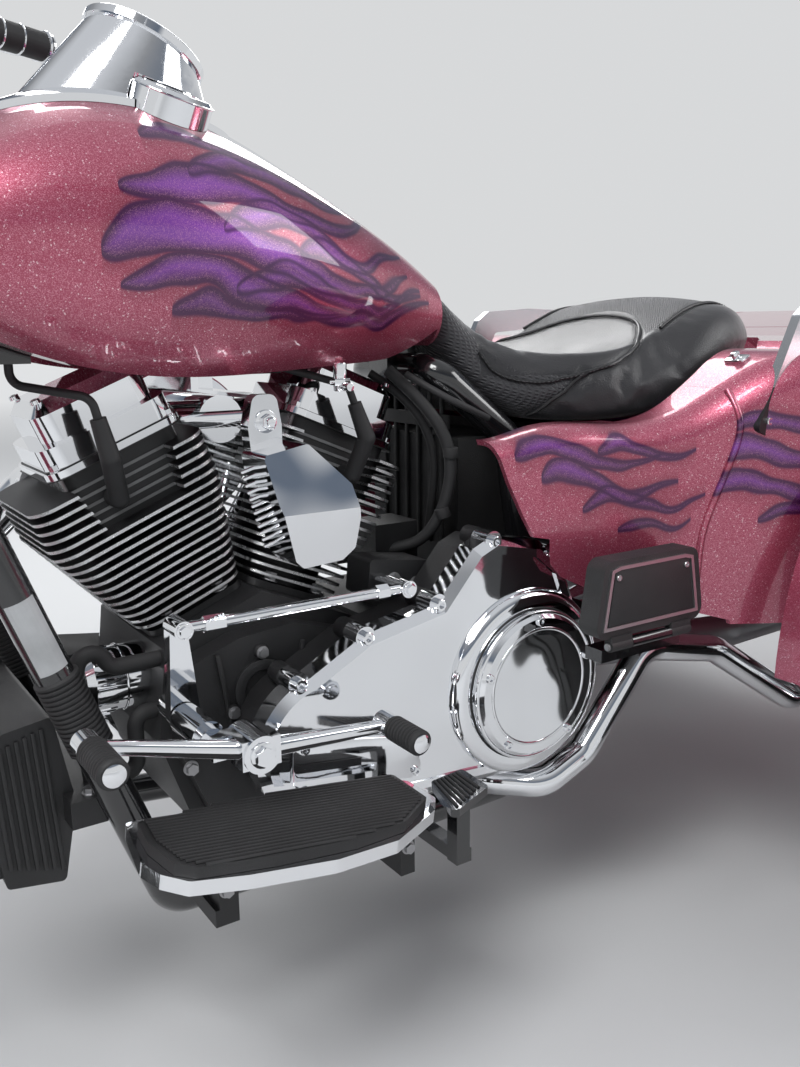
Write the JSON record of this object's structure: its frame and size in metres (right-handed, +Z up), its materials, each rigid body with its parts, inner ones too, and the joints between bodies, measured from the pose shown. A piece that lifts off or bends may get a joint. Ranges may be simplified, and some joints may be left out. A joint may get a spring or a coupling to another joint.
{
  "type": "motorized trike",
  "caption": "V-twin touring trike with one steered front wheel, a hollow luggage body with lid, and two fendered rear wheels.",
  "frame": {"origin": "on the floor under the middle of the machine, between its front fender and its plate holder", "axes": "+X forward, +Y to the rider's left, +Z up"},
  "size_m": [2.6436, 1.3844, 1.2756],
  "materials": {
    "body_paint": "pink metal-flake with clear coat",
    "chrome": "polished chrome",
    "engine_black": "black wrinkle with machined fin edges",
    "frame_black": "gloss black powder coat",
    "steel": "brushed steel",
    "tyre": "black tyre rubber",
    "rubber": "ribbed black rubber",
    "plastic": "grained black plastic",
    "seat_leather": "black seat vinyl, smooth and basket weave",
    "clear_lens": "clear lens",
    "red_lens": "red lens"
  },
  "bodies": {
    "chassis": {"air_cleaner": "chrome", "battery_box": "plastic", "brake_pedal": "frame_black", "clutch_cover": "chrome", "cylinder_front": "engine_black", "cylinder_rear": "engine_black", "dash_console": "chrome", "engine_cases": "engine_black", "exhaust_pipes": "chrome", "filler_cap": "chrome", "footboard_pads": "rubber", "footboards": "chrome", "frame_backbone": "frame_black", "frame_left": "frame_black", "frame_right": "frame_black", "fuel_tank": "body_paint", "gearbox": "engine_black", "grab_rail": "chrome", "horn_cover": "chrome", "leads_and_hoses": "rubber", "mufflers": "chrome", "oil_filter": "chrome", "parking_pedal": "frame_black", "passenger_brackets": "frame_black", "plate_holder": "frame_black", "primary_cover": "chrome", "primary_housing": "engine_black", "pushrod_tubes": "chrome", "rear_axle": "steel", "rear_body": "body_paint", "rear_fenders": "body_paint", "regulator": "engine_black", "rocker_boxes": "chrome", "seat": "seat_leather", "shifter": "chrome", "shifter_pegs": "rubber", "side_panels": "body_paint", "starter": "engine_black", "tail_lamps": "red_lens", "timing_cover": "chrome"},
    "steering": {"fork": "chrome", "calipers": "frame_black", "front_fender": "body_paint", "handlebar": "chrome", "grips": "rubber", "bar_controls": "frame_black", "mirrors": "chrome", "nacelle": "chrome", "headlamp": "clear_lens", "lamp_bar": "chrome"},
    "front_wheel": {"front_tyre": "tyre", "front_rim": "chrome"},
    "rear_wheel_left": {"rear_tyre_left": "tyre", "rear_rim_left": "chrome"},
    "rear_wheel_right": {"rear_tyre_right": "tyre", "rear_rim_right": "chrome"},
    "lid": {"trunk_lid": "body_paint"},
    "board_left": {"passenger_board_left": "plastic"},
    "board_right": {"passenger_board_right": "plastic"}
  },
  "joints": [
    {"name": "steering_turn", "type": "hinge", "parent": "chassis", "child": "steering", "pos_m": [0.72559, 0, 0.76397], "axis": [-0.4384, 0, 0.8988], "range_deg": [-32, 32]},
    {"name": "front_wheel_spin", "type": "hinge", "parent": "steering", "child": "front_wheel", "pos_m": [0.99821, 0, 0.319], "axis": [0, 1, 0], "continuous": true},
    {"name": "rear_wheel_left_spin", "type": "hinge", "parent": "chassis", "child": "rear_wheel_left", "pos_m": [-0.67179, 0.59, 0.324], "axis": [0, 1, 0], "continuous": true},
    {"name": "rear_wheel_right_spin", "type": "hinge", "parent": "chassis", "child": "rear_wheel_right", "pos_m": [-0.67179, -0.59, 0.324], "axis": [0, 1, 0], "continuous": true},
    {"name": "lid_lift", "type": "hinge", "parent": "chassis", "child": "lid", "pos_m": [-0.73179, 0, 0.7185], "axis": [0, 1, 0], "range_deg": [0, 62]},
    {"name": "board_left_fold", "type": "hinge", "parent": "chassis", "child": "board_left", "pos_m": [-0.14179, 0.296, 0.393], "axis": [1, 0, 0], "range_deg": [-88, 0]},
    {"name": "board_right_fold", "type": "hinge", "parent": "chassis", "child": "board_right", "pos_m": [-0.14179, -0.296, 0.393], "axis": [1, 0, 0], "range_deg": [0, 88]}
  ]
}
